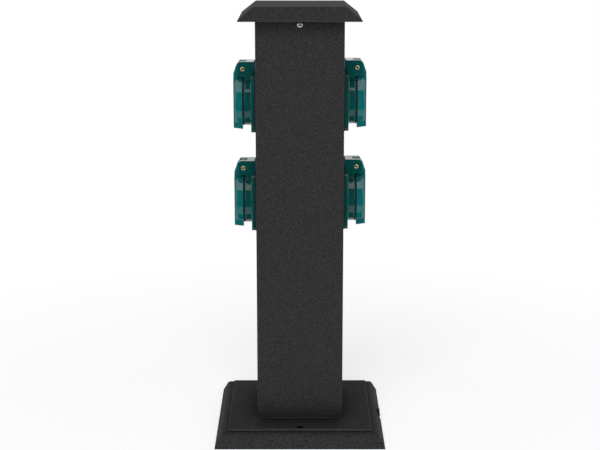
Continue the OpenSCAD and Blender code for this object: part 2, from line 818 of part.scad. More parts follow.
// Side view of the spine and of the lip, whose underside rises outwards
module spine_outline(back) {
    polygon([[skirt_out, lip_bottom], [face_out, lip_bottom + lip_slant], [face_out, spine_top],
        [back, spine_top], [back, lip_bottom + lip_h], [skirt_out, lip_bottom + lip_h]]);
}

module spine_edges(r) {
    half = spine_w / 2;
    translate([0, -half]) square([face_out - r, spine_w]);
    translate([0, -half + r]) square([face_out, spine_w - 2 * r]);
    for (s = [-1, 1]) translate([face_out - r, s * (half - r)]) circle(r);
}

// Ring in the lid, with a lip that fills the gap between skirt and rim
module lid_seal() {
    color(black) turned() {
        translate([seal_out_r - seal_t, seal_face])
            square([seal_t, cover_out - lid_wall - 0.1 - seal_face]);
        translate([seal_out_r - seal_t, seal_face]) square([seal_lip_r - seal_out_r + seal_t, seal_lip_t]);
    }
}

// Tubular rivet with both ends rolled into full rounds over the ears
module hinge_pin() {
    rolled = (pin_head_r - pin_bore_r) / 2;
    half = hinge_w / 2 + turn_play;
    color(brass) translate([hinge_out, 0, hinge_z]) rotate([90, 0, 0]) rotate_extrude() {
        translate([pin_bore_r, -half]) square([hinge_r - pin_bore_r, 2 * half]);
        for (s = [-1, 1]) mirror([0, s < 0 ? 1 : 0]) translate([pin_bore_r, half]) {
            square([pin_head_r - pin_bore_r, pin_head_edge]);
            intersection() {
                translate([rolled, pin_head_edge]) circle(rolled + proud);
                translate([-1, 0]) square([2 * rolled + 2, 2 * rolled]);
            }
        }
    }
}

function spring_start_y() = -spring_turns * spring_pitch / 2;
function spring_end_y() = spring_turns * spring_pitch / 2;
function spring_points() =
    let (steps = spring_turns * rings_per_turn)
    concat(
        [[spring_r, spring_start_y(), -spring_leg_down], [spring_r, spring_start_y(), -spring_leg_down / 2],
            [spring_r, spring_start_y(), -2 * spring_wire_r]],
        [for (i = [0:steps]) let (a = 360 * i / rings_per_turn)
            [spring_r * cos(a), spring_start_y() + i / rings_per_turn * spring_pitch, spring_r * sin(a)]],
        [[-2 * spring_wire_r, spring_end_y(), spring_r], [-spring_leg_in, spring_end_y(), spring_r]]);

module lid_spring() {
    pts = spring_points();
    apart = rings_per_turn - 2;
    gap = min([for (i = [0:len(pts) - 1], j = [0:len(pts) - 1]) if (j - i > apart) norm(pts[i] - pts[j])])
        - 2 * spring_wire_r;
    echo(least_gap_between_turns = gap);
    color(steel) translate([hinge_out, 0, hinge_z]) tube(pts, spring_wire_r, 6);
}

foot();
bottom_plate();
bottom_plate_screws();
column();
column_screws();
top_cap();
cap_screws();
cable_grommet();
terminal_block();
block_screws();
pole_wires(pole_pitch, "#6b3f22");  // live_wires
pole_wires(-pole_pitch, "#2b5fa8");  // neutral_wires
pole_wires(0, "#8aa83a");  // earth_wires
for (s = SOCKETS) at_socket(s) {
    housing();
    gasket();
    insert();
    pin_contacts();
    earth_strap();
    terminal_screws();
    flange_screws();
    lid();
    lid_seal();
    hinge_pin();
    lid_spring();
}
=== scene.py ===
import json
import math

import bmesh
import bpy
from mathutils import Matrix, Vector


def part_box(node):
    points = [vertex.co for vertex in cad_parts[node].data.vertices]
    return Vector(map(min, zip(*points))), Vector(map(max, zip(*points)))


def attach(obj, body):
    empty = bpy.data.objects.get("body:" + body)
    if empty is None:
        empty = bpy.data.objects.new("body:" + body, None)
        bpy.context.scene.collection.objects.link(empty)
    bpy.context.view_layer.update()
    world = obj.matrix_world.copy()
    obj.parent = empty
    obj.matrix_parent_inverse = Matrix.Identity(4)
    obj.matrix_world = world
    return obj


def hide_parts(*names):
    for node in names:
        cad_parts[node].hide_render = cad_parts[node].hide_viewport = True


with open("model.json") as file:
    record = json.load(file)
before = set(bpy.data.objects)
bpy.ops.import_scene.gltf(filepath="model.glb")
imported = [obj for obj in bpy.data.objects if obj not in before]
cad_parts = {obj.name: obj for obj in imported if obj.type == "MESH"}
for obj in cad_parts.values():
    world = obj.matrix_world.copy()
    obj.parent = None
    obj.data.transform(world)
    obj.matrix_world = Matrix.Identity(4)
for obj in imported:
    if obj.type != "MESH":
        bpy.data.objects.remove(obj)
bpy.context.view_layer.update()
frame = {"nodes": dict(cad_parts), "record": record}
nodes = frame["nodes"]
mm = 0.001
socketNames = ["upper_left", "lower_left", "upper_right", "lower_right"]


def outward(name):
    return 1 if name.endswith("right") else -1  # +X or -X


def boxMiddle(name):
    low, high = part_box(name)
    return (low + high) / 2


# camera: fitted to the column, cap and foot edges of the photo

cameraSettings = dict(
    at=(-0.00061, -1.25386, 0.49057),
    pitchDown=13.30,
    yaw=0.034,
    focalPixels=1361.4,
    frameWidth=600,
    sensor=36.0,
)


def makeCamera(s):
    data = bpy.data.cameras.new("studioCamera")
    data.sensor_width = s["sensor"]
    data.lens = s["focalPixels"] * s["sensor"] / s["frameWidth"]
    data.clip_start = 0.01
    cam = bpy.data.objects.new("studioCamera", data)
    bpy.context.scene.collection.objects.link(cam)
    cam.location = s["at"]
    cam.rotation_euler = (math.radians(90 - s["pitchDown"]), 0, -math.radians(s["yaw"]))
    bpy.context.scene.camera = cam


makeCamera(cameraSettings)
print("camera placed")


# shader helpers

def newMaterial(name):
    material = bpy.data.materials.new(name)
    material.use_nodes = True
    tree = material.node_tree
    tree.nodes.clear()
    out = tree.nodes.new("ShaderNodeOutputMaterial")
    shader = tree.nodes.new("ShaderNodeBsdfPrincipled")
    tree.links.new(shader.outputs["BSDF"], out.inputs["Surface"])
    return material, tree, shader


def node(tree, kind, inputs=None, **settings):
    n = tree.nodes.new(kind)
    for key, value in settings.items():
        setattr(n, key, value)
    for key, value in (inputs or {}).items():
        if isinstance(value, bpy.types.NodeSocket):
            tree.links.new(value, n.inputs[key])
        else:
            n.inputs[key].default_value = value
    return n


def objectCoords(tree):
    return node(tree, "ShaderNodeTexCoord").outputs["Object"]


def noise(tree, coords, scale, detail=3.0, roughness=0.5):
    inputs = {"Vector": coords, "Scale": scale, "Detail": detail, "Roughness": roughness}
    return node(tree, "ShaderNodeTexNoise", inputs).outputs["Fac"]


def stretchRange(tree, value, low, high, toLow=0.0, toHigh=1.0):
    inputs = {"Value": value, "From Min": low, "From Max": high, "To Min": toLow, "To Max": toHigh}
    return node(tree, "ShaderNodeMapRange", inputs).outputs["Result"]


def mathNode(tree, operation, a, b=0.0):
    return node(tree, "ShaderNodeMath", {0: a, 1: b}, operation=operation).outputs[0]


def mixColour(tree, factor, a, b):
    n = node(tree, "ShaderNodeMix", data_type="RGBA")
    for index, value in ((0, factor), (6, a), (7, b)):
        if isinstance(value, bpy.types.NodeSocket):
            tree.links.new(value, n.inputs[index])
        else:
            n.inputs[index].default_value = value
    return n.outputs[2]


def rgba(colour):
    return (*colour, 1.0)


def upwards(tree):
    # 1 where a surface faces up, -1 where it faces down
    normal = node(tree, "ShaderNodeNewGeometry").outputs["Normal"]
    return node(tree, "ShaderNodeSeparateXYZ", {0: normal}).outputs["Z"]


def newGroup(name, inputs, outputs):
    group = bpy.data.node_groups.new(name, "ShaderNodeTree")
    for label, kind, default in inputs:
        socket = group.interface.new_socket(label, in_out="INPUT", socket_type=kind)
        if default is not None:
            socket.default_value = default
    for label, kind in outputs:
        group.interface.new_socket(label, in_out="OUTPUT", socket_type=kind)
    return group, group.nodes.new("NodeGroupInput"), group.nodes.new("NodeGroupOutput")


def placeGroup(tree, group, inputs):
    n = tree.nodes.new("ShaderNodeGroup")
    n.node_tree = group
    for key, value in inputs.items():
        if isinstance(value, bpy.types.NodeSocket):
            tree.links.new(value, n.inputs[key])
        else:
            n.inputs[key].default_value = value
    return n


floatKind, colourKind, vectorKind = "NodeSocketFloat", "NodeSocketColor", "NodeSocketVector"


# soft edges: a small round on every sharp edge, and a mask that finds those edges

edgeSettings = dict(samples=6, flatDot=0.99, edgeDot=0.75)


def makeEdgeGroup(s):
    tree, gin, gout = newGroup(
        "softEdges",
        [("Radius", floatKind, 0.4 * mm)],
        [("Normal", vectorKind), ("Edge", floatKind)],
    )
    bevel = node(tree, "ShaderNodeBevel", {"Radius": gin.outputs["Radius"]}, samples=s["samples"])
    flat = node(tree, "ShaderNodeNewGeometry").outputs["True Normal"]
    dot = node(tree, "ShaderNodeVectorMath", {0: bevel.outputs["Normal"], 1: flat},
               operation="DOT_PRODUCT").outputs["Value"]
    tree.links.new(bevel.outputs["Normal"], gout.inputs["Normal"])
    tree.links.new(stretchRange(tree, dot, s["flatDot"], s["edgeDot"]), gout.inputs["Edge"])
    return tree


# grain: the fine leathery texture of powder coat and of textured mouldings
# scales are multiples of one over the grain's size, shares are parts of the bump's height

grainSettings = dict(finerScale=2.3, finerShare=0.3, broadScale=0.35, broadShare=0.5, moundShare=0.55,
                     fleckScale=0.9, fleckLow=0.3, fleckHigh=0.75)


def makeGrainGroup(s):
    tree, gin, gout = newGroup(
        "fineGrain",
        [("Grain Size", floatKind, 1.1 * mm), ("Depth", floatKind, 0.08 * mm), ("Normal", vectorKind, None),
         ("Wander", floatKind, 0.5)],
        [("Normal", vectorKind), ("Height", floatKind), ("Fleck", floatKind)],
    )
    coords = objectCoords(tree)
    size = gin.outputs["Grain Size"]
    scale = mathNode(tree, "DIVIDE", 1.0, size)
    warp = node(tree, "ShaderNodeTexNoise", {"Vector": coords, "Scale": scale, "Detail": 1.0})
    bend = node(tree, "ShaderNodeVectorMath", {0: warp.outputs["Color"], 1: (0.5, 0.5, 0.5)},
                operation="SUBTRACT")
    push = node(tree, "ShaderNodeVectorMath", {0: bend.outputs[0], "Scale": size}, operation="SCALE")
    bent = node(tree, "ShaderNodeVectorMath", {0: coords, 1: push.outputs[0]}, operation="ADD")
    cells = node(tree, "ShaderNodeTexVoronoi", {"Vector": bent.outputs[0], "Scale": scale},
                 feature="SMOOTH_F1")
    finer = noise(tree, coords, mathNode(tree, "MULTIPLY", scale, s["finerScale"]), 2.0, 0.6)
    broad = noise(tree, coords, mathNode(tree, "MULTIPLY", scale, s["broadScale"]), 2.0, 0.5)
    mound = mathNode(tree, "SUBTRACT", 1.0, cells.outputs["Distance"])
    height = mathNode(tree, "ADD", mathNode(tree, "MULTIPLY", mound, s["moundShare"]),
                      mathNode(tree, "MULTIPLY", finer, s["finerShare"]))
    wander = mathNode(tree, "MULTIPLY", gin.outputs["Wander"], s["broadShare"])
    height = mathNode(tree, "ADD", height, mathNode(tree, "MULTIPLY", broad, wander))
    bump = node(tree, "ShaderNodeBump", {"Strength": 1.0, "Distance": gin.outputs["Depth"], "Height": height,
                                         "Normal": gin.outputs["Normal"]})
    speckle = noise(tree, coords, mathNode(tree, "MULTIPLY", scale, s["fleckScale"]), 3.0, 0.7)
    tree.links.new(bump.outputs["Normal"], gout.inputs["Normal"])
    tree.links.new(height, gout.inputs["Height"])
    tree.links.new(stretchRange(tree, speckle, s["fleckLow"], s["fleckHigh"]), gout.inputs["Fleck"])
    return tree


# settled dust on what faces up

dustSettings = dict(upFrom=0.2, upTo=1.0, patchLow=0.35, patchHigh=0.7, speckScale=1500.0, speckLow=0.3,
                    speckHigh=0.7, leastSpeck=0.4)


def makeDustGroup(s):
    tree, gin, gout = newGroup(
        "settledDust",
        [("Colour", colourKind, (0.5, 0.5, 0.5, 1)), ("Dust Colour", colourKind, (0.3, 0.28, 0.25, 1)),
         ("Amount", floatKind, 0.1), ("Patch Size", floatKind, 0.02)],
        [("Colour", colourKind), ("Mask", floatKind)],
    )
    coords = objectCoords(tree)
    facing = stretchRange(tree, upwards(tree), s["upFrom"], s["upTo"])
    patch = noise(tree, coords, mathNode(tree, "DIVIDE", 1.0, gin.outputs["Patch Size"]), 5.0, 0.65)
    specks = noise(tree, coords, s["speckScale"], 2.0, 0.7)
    mask = mathNode(tree, "MULTIPLY", facing, stretchRange(tree, patch, s["patchLow"], s["patchHigh"]))
    mask = mathNode(tree, "MULTIPLY", mask,
                    stretchRange(tree, specks, s["speckLow"], s["speckHigh"], s["leastSpeck"], 1.0))
    mask = mathNode(tree, "MULTIPLY", mask, gin.outputs["Amount"])
    tree.links.new(mixColour(tree, mask, gin.outputs["Colour"], gin.outputs["Dust Colour"]),
                   gout.inputs["Colour"])
    tree.links.new(mask, gout.inputs["Mask"])
    return tree


# painted shade where surfaces meet: darkens corners, creases and what lies close under an overhang
# one level is how open a surface has to be to keep its own colour, the other how closed it is where the
# painted shade is full

cornerShadeSettings = dict(samples=8, unshadedFrom=0.95, fullShadeAt=0.5)


def makeCornerShadeGroup(s):
    tree, gin, gout = newGroup(
        "cornerShade",
        [("Colour", colourKind, (0.5, 0.5, 0.5, 1)), ("Tint", colourKind, (0.5, 0.5, 0.5, 1)),
         ("Reach", floatKind, 20 * mm), ("Amount", floatKind, 1.0), ("Unshaded From", floatKind, s["unshadedFrom"])],
        [("Colour", colourKind), ("Mask", floatKind)],
    )
    clear = node(tree, "ShaderNodeAmbientOcclusion", {"Distance": gin.outputs["Reach"]},
                 samples=s["samples"]).outputs["AO"]
    mask = mathNode(tree, "MULTIPLY", stretchRange(tree, clear, gin.outputs["Unshaded From"], s["fullShadeAt"]),
                    gin.outputs["Amount"])
    tinted = node(tree, "ShaderNodeVectorMath", {0: gin.outputs["Colour"], 1: gin.outputs["Tint"]},
                  operation="MULTIPLY").outputs[0]
    tree.links.new(mixColour(tree, mask, gin.outputs["Colour"], tinted), gout.inputs["Colour"])
    tree.links.new(mask, gout.inputs["Mask"])
    return tree


softEdges = makeEdgeGroup(edgeSettings)
fineGrain = makeGrainGroup(grainSettings)
settledDust = makeDustGroup(dustSettings)
cornerShade = makeCornerShadeGroup(cornerShadeSettings)
print("shader groups ready")


# textured coats: column, cap and foot, with painted shade in corners and under overhangs and painted
# highlights along the column's bottom edge and the plateau's rim

coatFinish = dict(dustColour=(0.10, 0.095, 0.085), dustPatch=30 * mm, heightLow=0.3, heightHigh=1.1,
                  rougher=0.12, smoother=0.05)
columnFinish = dict(coatFinish, dark=(0.0100, 0.0100, 0.0102), light=(0.0530, 0.0530, 0.0535),
                    roughness=0.50, specular=0.12, grainSize=0.79 * mm, depth=0.19 * mm, wander=0.6,
                    edgeRadius=0.5 * mm, dust=0.03, cornerShadeReach=22 * mm, cornerShadeTint=(0.58, 0.58, 0.57),
                    # these set the painted highlight line along the column's bottom edge
                    highlightHeight=0.7 * mm, highlightSoft=0.6, edgeHighlightColour=(0.075, 0.075, 0.077), ragged=0.5 * mm,
                    raggedScale=900.0)
capFinish = dict(coatFinish, dark=(0.0100, 0.0100, 0.0101), light=(0.0865, 0.0865, 0.0870),
                 roughness=0.62, specular=0.03, grainSize=0.9 * mm, depth=0.15 * mm, wander=0.6,
                 edgeRadius=0.4 * mm, dust=0.04, cornerShadeReach=8 * mm, cornerShadeTint=(0.60, 0.60, 0.59))
footFinish = dict(coatFinish, dark=(0.0090, 0.0089, 0.0086), light=(0.0780, 0.0771, 0.0748),
                  roughness=0.65, specular=0.03, grainSize=0.95 * mm, depth=0.20 * mm, wander=0.8,
                  edgeRadius=0.7 * mm, dust=0.01, cornerShadeReach=26 * mm, cornerShadeTint=(0.42, 0.40, 0.36),
                  cornerShadeUpFrom=0.80, cornerShadeUpTo=0.95,
                  # the hole keys paint shade into the fixing holes, the rim keys a highlight along the
                  # plateau's rim, the crease keys shade in the crease below it
                  holeAt=62.5 * mm, holeRadius=3.5 * mm, holeSoft=(1.03, 0.98), holeSunk=0.4 * mm,
                  holeShadeColour=(0.0010, 0.0010, 0.0010),
                  rimDepth=1.7 * mm, rimSoft=1.2, rimUpFrom=0.97, rimUpTo=0.85, rimHighlight=0.18,
                  rimHighlightColour=(0.105, 0.104, 0.101),
                  creaseReach=2.0 * mm, crease=(0.45, 0.44, 0.42), creaseFrom=5 * mm, creaseSoft=0.8)


def bottomEdgeHighlight(tree, s, colour, bottom):
    # a painted highlight: a lighter line along the column's bottom edge, with a ragged top
    z = node(tree, "ShaderNodeSeparateXYZ", {0: objectCoords(tree)}).outputs["Z"]
    ragged = mathNode(tree, "MULTIPLY", noise(tree, objectCoords(tree), s["raggedScale"], 2.0), s["ragged"])
    above = mathNode(tree, "SUBTRACT", mathNode(tree, "SUBTRACT", z, bottom), ragged)
    bare = stretchRange(tree, above, s["highlightHeight"], s["highlightHeight"] * s["highlightSoft"])
    return mixColour(tree, bare, colour, rgba(s["edgeHighlightColour"]))


def footHighlightAndShade(tree, s, colour, top):
    # a painted highlight along the plateau's rim, painted shade in the crease below it and in the two fixing
    # holes
    at = node(tree, "ShaderNodeSeparateXYZ", {0: objectCoords(tree)})
    z = at.outputs["Z"]
    high = stretchRange(tree, z, top - s["rimDepth"] * s["rimSoft"], top - s["rimDepth"])
    rim = mathNode(tree, "MULTIPLY", high, stretchRange(tree, upwards(tree), s["rimUpFrom"], s["rimUpTo"]))
    colour = mixColour(tree, mathNode(tree, "MULTIPLY", rim, s["rimHighlight"]), colour, rgba(s["rimHighlightColour"]))
    # painted shade in the crease, only above the lowest few millimetres
    offFloor = stretchRange(tree, z, s["creaseFrom"] * s["creaseSoft"], s["creaseFrom"])
    creased = placeGroup(tree, cornerShade, {"Colour": colour, "Tint": rgba(s["crease"]),
                                             "Reach": s["creaseReach"], "Amount": offFloor})
    away = mathNode(tree, "SUBTRACT", mathNode(tree, "ABSOLUTE", at.outputs["Y"]), s["holeAt"])
    flat = node(tree, "ShaderNodeCombineXYZ", {0: at.outputs["X"], 1: away}).outputs[0]
    reach = node(tree, "ShaderNodeVectorMath", {0: flat}, operation="LENGTH").outputs["Value"]
    inHole = stretchRange(tree, reach, *(s["holeRadius"] * k for k in s["holeSoft"]))
    sunk = stretchRange(tree, z, top, top - s["holeSunk"])
    return mixColour(tree, mathNode(tree, "MULTIPLY", inHole, sunk), creased.outputs["Colour"],
                     rgba(s["holeShadeColour"]))


def texturedCoat(name, s, columnBottom=None, footTop=None):
    material, tree, shader = newMaterial(name)
    edges = placeGroup(tree, softEdges, {"Radius": s["edgeRadius"]})
    grain = placeGroup(tree, fineGrain, {"Grain Size": s["grainSize"], "Depth": s["depth"],
                                         "Wander": s["wander"], "Normal": edges.outputs["Normal"]})
    colour = mixColour(tree, grain.outputs["Fleck"], rgba(s["dark"]), rgba(s["light"]))
    dusty = placeGroup(tree, settledDust, {"Colour": colour, "Dust Colour": rgba(s["dustColour"]),
                                           "Amount": s["dust"], "Patch Size": s["dustPatch"]})
    colour = dusty.outputs["Colour"]
    amount = 1.0
    if columnBottom is not None:
        colour = bottomEdgeHighlight(tree, s, colour, columnBottom)
    if footTop is not None:  # the foot's broad painted shade lies only on what faces up
        colour = footHighlightAndShade(tree, s, colour, footTop)
        amount = stretchRange(tree, upwards(tree), s["cornerShadeUpFrom"], s["cornerShadeUpTo"])
    # painted shade: the colour darkens in corners and under overhangs, as under the cap and round the
    # column's foot
    cornerShaded = placeGroup(tree, cornerShade, {"Colour": colour, "Tint": rgba(s["cornerShadeTint"]),
                                           "Reach": s["cornerShadeReach"], "Amount": amount})
    rough = stretchRange(tree, grain.outputs["Height"], s["heightLow"], s["heightHigh"],
                         s["roughness"] + s["rougher"], s["roughness"] - s["smoother"])
    tree.links.new(cornerShaded.outputs["Colour"], shader.inputs["Base Color"])
    tree.links.new(rough, shader.inputs["Roughness"])
    tree.links.new(grain.outputs["Normal"], shader.inputs["Normal"])
    shader.inputs["Specular IOR Level"].default_value = s["specular"]
    return material


# glossy green mouldings: housings and lids

greenFinish = dict(deep=(0.0002, 0.056, 0.052), pale=(0.0006, 0.068, 0.064), roughness=0.07, specular=0.50,
                   edgeRadius=0.6 * mm, flowScale=60.0, flowRange=(0.35, 0.65),
                   waviness=0.004 * mm, sinkScale=140.0, skinScale=2600.0, skinShare=0.05,
                   rubScale=35.0, rubRange=(0.45, 0.8), rubbed=0.10,
                   dust=0.006, dustColour=(0.25, 0.27, 0.25), dustPatch=12 * mm, dustRoughness=2.0)
lidFinish = dict(greenFinish, deep=(0.0010, 0.116, 0.120), pale=(0.0026, 0.138, 0.143))


def glossMoulding(name, s):
    material, tree, shader = newMaterial(name)
    coords = objectCoords(tree)
    edges = placeGroup(tree, softEdges, {"Radius": s["edgeRadius"]})
    flow = stretchRange(tree, noise(tree, coords, s["flowScale"]), *s["flowRange"])
    dusty = placeGroup(tree, settledDust, {"Colour": mixColour(tree, flow, rgba(s["deep"]), rgba(s["pale"])),
                                           "Dust Colour": rgba(s["dustColour"]),
                                           "Amount": s["dust"], "Patch Size": s["dustPatch"]})
    sink = noise(tree, coords, s["sinkScale"], 2.0, 0.4)
    skin = mathNode(tree, "MULTIPLY", noise(tree, coords, s["skinScale"], 2.0, 0.5), s["skinShare"])
    bump = node(tree, "ShaderNodeBump", {"Strength": 1.0, "Distance": s["waviness"],
                                         "Height": mathNode(tree, "ADD", sink, skin),
                                         "Normal": edges.outputs["Normal"]})
    rubs = stretchRange(tree, noise(tree, coords, s["rubScale"], 5.0, 0.7), *s["rubRange"],
                        s["roughness"], s["roughness"] + s["rubbed"])
    dull = mathNode(tree, "MULTIPLY", dusty.outputs["Mask"], s["dustRoughness"])
    tree.links.new(dusty.outputs["Colour"], shader.inputs["Base Color"])
    tree.links.new(mathNode(tree, "ADD", rubs, dull), shader.inputs["Roughness"])
    tree.links.new(bump.outputs["Normal"], shader.inputs["Normal"])
    shader.inputs["Specular IOR Level"].default_value = s["specular"]
    return material


# plain mouldings and rubber

plainFinish = dict(edgeRadius=0.25 * mm, wander=0.4, rubbed=0.15, rubColour=(0.25, 0.25, 0.25),
                   heightLow=0.3, heightHigh=1.1, rougher=0.08, smoother=0.04)
blackFinish = dict(plainFinish, dark=(0.008, 0.008, 0.008), light=(0.016, 0.016, 0.016), roughness=0.38,
                   specular=0.4, grainSize=0.5 * mm, depth=0.01 * mm)
rubberFinish = dict(plainFinish, dark=(0.007, 0.007, 0.007), light=(0.015, 0.015, 0.014), roughness=0.72,
                    specular=0.25, grainSize=0.4 * mm, depth=0.03 * mm)
blockFinish = dict(plainFinish, dark=(0.58, 0.56, 0.48), light=(0.70, 0.68, 0.60), roughness=0.45,
                   specular=0.4, grainSize=0.6 * mm, depth=0.01 * mm)


def plainMoulding(name, s):
    material, tree, shader = newMaterial(name)
    edges = placeGroup(tree, softEdges, {"Radius": s["edgeRadius"]})
    grain = placeGroup(tree, fineGrain, {"Grain Size": s["grainSize"], "Depth": s["depth"],
                                         "Wander": s["wander"], "Normal": edges.outputs["Normal"]})
    colour = mixColour(tree, grain.outputs["Fleck"], rgba(s["dark"]), rgba(s["light"]))
    rubs = mathNode(tree, "MULTIPLY", edges.outputs["Edge"], s["rubbed"])
    rough = stretchRange(tree, grain.outputs["Height"], s["heightLow"], s["heightHigh"],
                         s["roughness"] + s["rougher"], s["roughness"] - s["smoother"])
    tree.links.new(mixColour(tree, rubs, colour, rgba(s["rubColour"])), shader.inputs["Base Color"])
    tree.links.new(rough, shader.inputs["Roughness"])
    tree.links.new(grain.outputs["Normal"], shader.inputs["Normal"])
    shader.inputs["Specular IOR Level"].default_value = s["specular"]
    return material


# metals: drawn or rolled lines, blotches, and painted shade without shine in holes and corners

metal = dict(brushSize=0.25 * mm, depth=0.004 * mm, along=(1, 1, 1), edgeRadius=0.12 * mm,
             blotchScale=400.0, colourRange=(0.35, 0.7), roughRange=(0.3, 0.7), lineRoughness=0.06,
             rougher=0.05, smoother=0.03, shadeTint=(0.25, 0.25, 0.25), shadeReach=1.5 * mm, unshadedFrom=0.78,
             shadeRoughness=0.9)
zincFinish = dict(metal, dull=(0.82, 0.82, 0.82), bright=(0.98, 0.97, 0.96), roughness=0.24)
sheetFinish = dict(metal, dull=(0.46, 0.47, 0.49), bright=(0.60, 0.60, 0.61), roughness=0.36,
                   brushSize=0.6 * mm, depth=0.01 * mm, along=(0.08, 1, 1))
springFinish = dict(metal, dull=(0.42, 0.42, 0.43), bright=(0.60, 0.60, 0.62), roughness=0.25)
brassFinish = dict(metal, dull=(0.86, 0.67, 0.33), bright=(1.0, 0.88, 0.60), roughness=0.50,
                   shadeTint=(0.10, 0.07, 0.04))
copperFinish = dict(metal, dull=(0.60, 0.27, 0.15), bright=(0.78, 0.40, 0.25), roughness=0.22)


def metalFinish(name, s):
    material, tree, shader = newMaterial(name)
    coords = objectCoords(tree)
    stretched = node(tree, "ShaderNodeMapping", {"Vector": coords, "Scale": s["along"]}).outputs["Vector"]
    lines = noise(tree, stretched, 1 / s["brushSize"], 2.0, 0.6)
    blotch = noise(tree, coords, s["blotchScale"], 4.0, 0.6)
    edges = placeGroup(tree, softEdges, {"Radius": s["edgeRadius"]})
    patches = stretchRange(tree, blotch, *s["colourRange"])
    colour = mixColour(tree, patches, rgba(s["dull"]), rgba(s["bright"]))
    brushed = stretchRange(tree, lines, *s["roughRange"], -s["lineRoughness"], s["lineRoughness"])
    blotchy = stretchRange(tree, blotch, *s["roughRange"], s["roughness"] + s["rougher"],
                           s["roughness"] - s["smoother"])
    rough = mathNode(tree, "ADD", brushed, blotchy)
    bump = node(tree, "ShaderNodeBump", {"Strength": 1.0, "Distance": s["depth"], "Height": lines,
                                         "Normal": edges.outputs["Normal"]})
    # painted shade: darker, rougher and not metallic in holes and corners, as in the pins' bores
    cornerShaded = placeGroup(tree, cornerShade, {"Colour": colour, "Tint": rgba(s["shadeTint"]),
                                           "Reach": s["shadeReach"], "Amount": 1.0, "Unshaded From": s["unshadedFrom"]})
    shadeMask = cornerShaded.outputs["Mask"]
    dulled = mathNode(tree, "MAXIMUM", rough, mathNode(tree, "MULTIPLY", shadeMask, s["shadeRoughness"]))
    tree.links.new(cornerShaded.outputs["Colour"], shader.inputs["Base Color"])
    tree.links.new(dulled, shader.inputs["Roughness"])
    tree.links.new(mathNode(tree, "SUBTRACT", 1.0, shadeMask), shader.inputs["Metallic"])
    tree.links.new(bump.outputs["Normal"], shader.inputs["Normal"])
    return material


# wire insulation: one colour, or two with a stripe along one side

wireFinish = dict(shadeScale=300.0, shadeRange=(0.3, 0.7), darker=0.75, stripe=None,
                  stripeFrom=0.1 * mm, stripeTo=0.2 * mm, fineScale=3000.0, depth=0.01 * mm, dull=0.45,
                  shiny=0.35)


def insulation(name, s):
    material, tree, shader = newMaterial(name)
    coords = objectCoords(tree)
    shade = stretchRange(tree, noise(tree, coords, s["shadeScale"]), *s["shadeRange"])
    darker = tuple(s["darker"] * c for c in s["colour"])
    base = mixColour(tree, shade, rgba(darker), rgba(s["colour"]))
    if s["stripe"]:
        across = node(tree, "ShaderNodeSeparateXYZ", {0: coords}).outputs["Y"]
        side = stretchRange(tree, across, s["stripeFrom"], s["stripeTo"])
        base = mixColour(tree, side, base, rgba(s["stripe"]))
    fine = noise(tree, coords, s["fineScale"], 2.0)
    bump = node(tree, "ShaderNodeBump", {"Strength": 1.0, "Distance": s["depth"], "Height": fine})
    rough = stretchRange(tree, shade, 0.0, 1.0, s["dull"], s["shiny"])
    tree.links.new(base, shader.inputs["Base Color"])
    tree.links.new(rough, shader.inputs["Roughness"])
    tree.links.new(bump.outputs["Normal"], shader.inputs["Normal"])
    return material


finishes = {
    "coated_metal": texturedCoat("coatedMetal", columnFinish, columnBottom=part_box("column")[0].z),
    "cap_plastic": texturedCoat("capMoulding", capFinish),
    "foot_plastic": texturedCoat("footMoulding", footFinish, footTop=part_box("foot")[1].z),
    "green_plastic": glossMoulding("greenMoulding", greenFinish),
    "lid_plastic": glossMoulding("lidMoulding", lidFinish),
    "black_plastic": plainMoulding("blackMoulding", blackFinish),
    "black_rubber": plainMoulding("blackRubber", rubberFinish),
    "block_plastic": plainMoulding("blockMoulding", blockFinish),
    "steel": metalFinish("zincSteel", zincFinish),
    "plated_steel": metalFinish("platedSheet", sheetFinish),
    "spring_steel": metalFinish("springWire", springFinish),
    "brass": metalFinish("brass", brassFinish),
    "brown_insulation": insulation("brownInsulation", dict(wireFinish, colour=(0.14, 0.05, 0.02))),
    "blue_insulation": insulation("blueInsulation", dict(wireFinish, colour=(0.02, 0.09, 0.38))),
    "green_insulation": insulation("earthInsulation", dict(wireFinish, colour=(0.08, 0.30, 0.03),
                                                           stripe=(0.70, 0.62, 0.02))),
}
copper = metalFinish("copperCore", copperFinish)

slotOf = {entry["node"]: entry["material_slot"] for entry in frame["record"]["subparts"]}
for name, piece in nodes.items():
    piece.data.materials.clear()
    piece.data.materials.append(finishes[slotOf[name]])
print("finishes on", len(nodes), "nodes")


# mesh helpers

def link(piece):
    bpy.context.scene.collection.objects.link(piece)
    return piece


def meshPiece(name, bm):
    mesh = bpy.data.meshes.new(name)
    bm.to_mesh(mesh)
    bm.free()
    return link(bpy.data.objects.new(name, mesh))


def settle(piece):
    # turns the evaluated shape into a plain mesh with no modifier left
    bpy.context.view_layer.update()
    evaluated = piece.evaluated_get(bpy.context.evaluated_depsgraph_get())
    mesh = bpy.data.meshes.new_from_object(evaluated)
    piece.modifiers.clear()
    old = piece.data
    piece.data = mesh
    bpy.data.meshes.remove(old)
    return piece


def roundOff(piece, angle=35):
    piece.data.shade_smooth()
    piece.data.set_sharp_from_angle(angle=math.radians(angle))
    return piece


def geometryTree(name, inputs):
    tree = bpy.data.node_groups.new(name, "GeometryNodeTree")
    ids = {}
    tree.interface.new_socket("Geometry", in_out="INPUT", socket_type="NodeSocketGeometry")
    for label, kind, default in inputs:
        socket = tree.interface.new_socket(label, in_out="INPUT", socket_type=kind)
        if default is not None:
            socket.default_value = default
        ids[label] = socket.identifier
    tree.interface.new_socket("Geometry", in_out="OUTPUT", socket_type="NodeSocketGeometry")
    return tree, tree.nodes.new("NodeGroupInput"), tree.nodes.new("NodeGroupOutput"), ids


